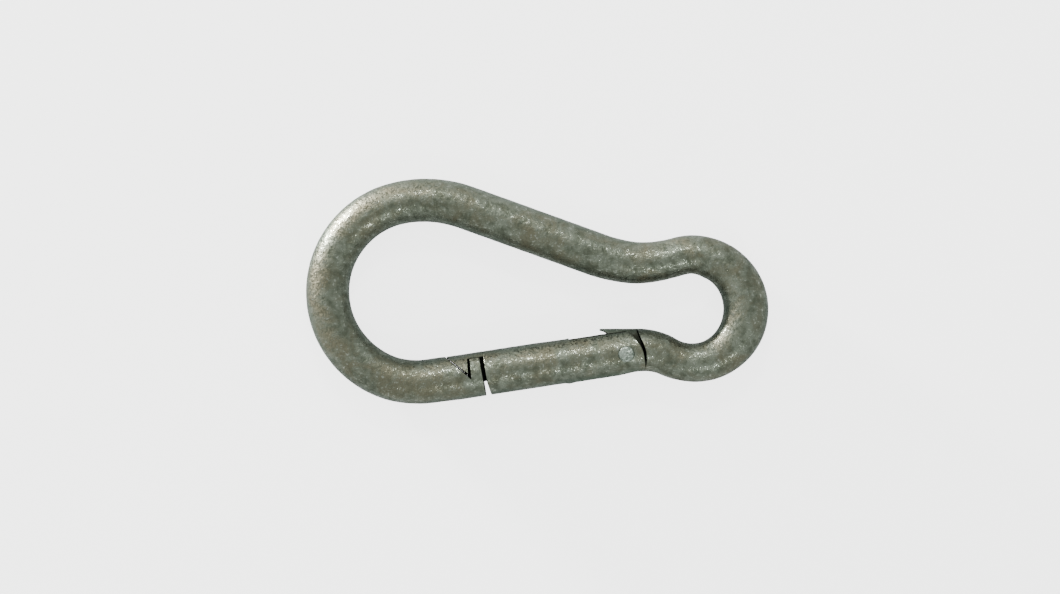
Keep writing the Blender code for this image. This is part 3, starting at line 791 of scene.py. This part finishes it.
# The wire's circle rides on a helix whose pitch is small in the first and last turn.
closed = np.minimum(turns, 1) + np.maximum(turns - coil_turns + 1, 0)
coil_at = coil_from + closed * closed_pitch + (turns - closed) * open_pitch
coil_angle = 2 * np.pi * turns
wire_angle = np.arange(wire_sides) * 2 * np.pi / wire_sides
wire_out = coil_r + wire_r * np.cos(wire_angle)[None, :]
wire_points = along_gate(wire_out * np.cos(coil_angle)[:, None], wire_out * np.sin(coil_angle)[:, None],
                         coil_at[:, None] + wire_r * np.sin(wire_angle)[None, :])
wire_faces = grid_faces(len(turns), wire_sides).tolist()
wire_faces.append(list(range(wire_sides))[::-1])
wire_faces.append([(len(turns) - 1) * wire_sides + k for k in range(wire_sides)])
spring = piece("return_coil", wire_points, wire_faces)
spring_bright, spring_film = (0.34, 0.34, 0.33, 1), (0.20, 0.19, 0.17, 1)
spring.data.materials.append(steel_material("spring_steel", spring_bright, spring_film, 400))
ends = [along_gate(np.array(0.0), np.array(0.0), np.array(at)) for at in (coil_to, coil_from)]
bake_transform(spring)
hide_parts("return_spring")

# --- Table and light ------------------------------------------------------------------------------
# A pale table under the hook and an even sky, a warm key light low beyond the bow's upper side, two weak
# lights higher up on either side, and a camera straight above on a long lens, turned a little so that the
# small eye hangs lower.

camera_turn, camera_height, view_width = math.radians(3.64), 1.5, 0.27446
view_centre = np.array((-0.00192, 0.00037))
table_size, table_glow, light_distance = 3.0, 3.0, 1.0


def table_material():
    """Matte white, and glowing to the camera alone, like paper on a light table that lights nothing else."""
    material = bpy.data.materials.new("table")
    material.use_nodes = True
    tree = material.node_tree
    shader = tree.nodes["Principled BSDF"]
    shader.inputs["Base Color"].default_value = (0.8, 0.8, 0.8, 1)
    shader.inputs["Roughness"].default_value = 0.9
    shader.inputs["Specular IOR Level"].default_value = 0.1
    seen = node(tree, "LightPath").outputs["Is Camera Ray"]
    glow = node(tree, "Math", {0: seen, 1: table_glow}, operation="MULTIPLY").outputs[0]
    shader.inputs["Emission Color"].default_value = (1, 1, 1, 1)
    tree.links.new(glow, shader.inputs["Emission Strength"])
    return material


bpy.ops.mesh.primitive_plane_add(size=table_size, location=(0, 0, low[2]))
table = bpy.context.active_object
table.name = "table"
table.data.materials.append(table_material())


def soft_light(name, width, height, power, azimuth, tilt, colour):
    """An area light that faces the hook: azimuth is measured on the table, tilt down from straight up."""
    light = bpy.data.lights.new(name, "AREA")
    light.shape = "RECTANGLE"
    light.size, light.size_y = width, height
    light.energy = power
    light.color = colour
    made = bpy.data.objects.new(name, light)
    bpy.context.scene.collection.objects.link(made)
    flat = light_distance * math.sin(math.radians(tilt))
    across = direction(math.radians(azimuth)) * flat
    made.location = (*across, light_distance * math.cos(math.radians(tilt)))
    made.rotation_euler = (-made.location).to_track_quat("-Z", "Y").to_euler()


soft_light("key", width=0.14, height=0.12, power=74, azimuth=146, tilt=88, colour=(1, 0.965, 0.94))
soft_light("high", width=0.16, height=0.12, power=2.5, azimuth=96, tilt=44, colour=(0.97, 1, 0.97))
soft_light("low", width=0.1, height=0.08, power=1.5, azimuth=-62, tilt=44, colour=(0.95, 1, 0.97))

world = bpy.data.worlds.new("studio")
world.use_nodes = True
sky = world.node_tree.nodes["Background"]
sky.inputs["Color"].default_value = (0.95, 1.0, 0.965, 1)
sky.inputs["Strength"].default_value = 0.85
bpy.context.scene.world = world

lens = bpy.data.cameras.new("camera")
lens.sensor_width = 36
lens.lens = lens.sensor_width * (camera_height - bar_r) / view_width
lens.clip_start = 0.1
camera = bpy.data.objects.new("camera", lens)
bpy.context.scene.collection.objects.link(camera)
camera.location = (*view_centre, camera_height)
camera.rotation_euler = (0, 0, camera_turn)
bpy.context.scene.camera = camera
